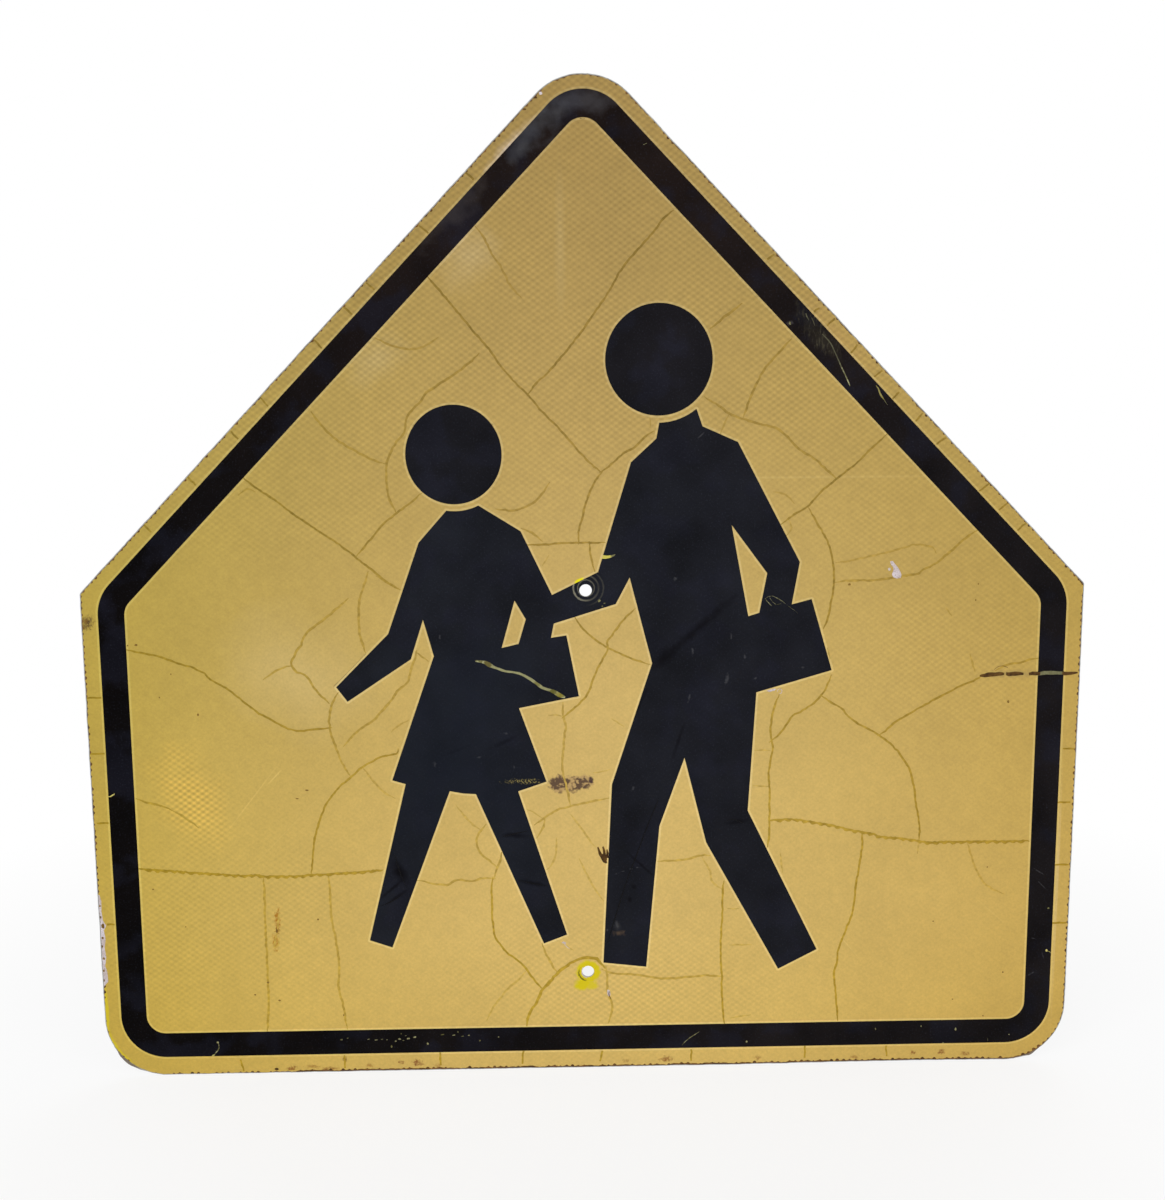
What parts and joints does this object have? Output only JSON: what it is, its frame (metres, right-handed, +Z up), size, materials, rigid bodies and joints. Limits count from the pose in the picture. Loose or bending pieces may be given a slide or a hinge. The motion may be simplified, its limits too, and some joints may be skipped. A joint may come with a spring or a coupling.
{
  "type": "school crossing sign",
  "caption": "Flat yellow pentagon road sign with a black rounded border and a silhouette of an adult and a child walking hand in hand, on bare sheet metal.",
  "frame": {"origin": "on the back face, on the centre line, midway between the two bolt holes", "axes": "-Y out of the front of the sign, +Y out of its back towards the post, +X to the viewer's right, +Z up"},
  "size_m": [0.762, 0.0025, 0.762],
  "materials": {
    "bare_aluminium": "mill-rolled sheet, dulled and stained by weather",
    "beaded_base_sheet": "matt, with fine glass beads",
    "yellow_face_film": "satin, sun-faded and cracked, with a fine honeycomb of seal lines",
    "black_legend_film": "satin, blue-black, scratched"
  },
  "bodies": {
    "root": {"sign_blank": "bare_aluminium", "sheeting_base": "beaded_base_sheet", "sheeting_face": "yellow_face_film", "border_band": "black_legend_film", "walking_pair": "black_legend_film", "adult_head": "black_legend_film", "child_head": "black_legend_film"}
  },
  "joints": []
}
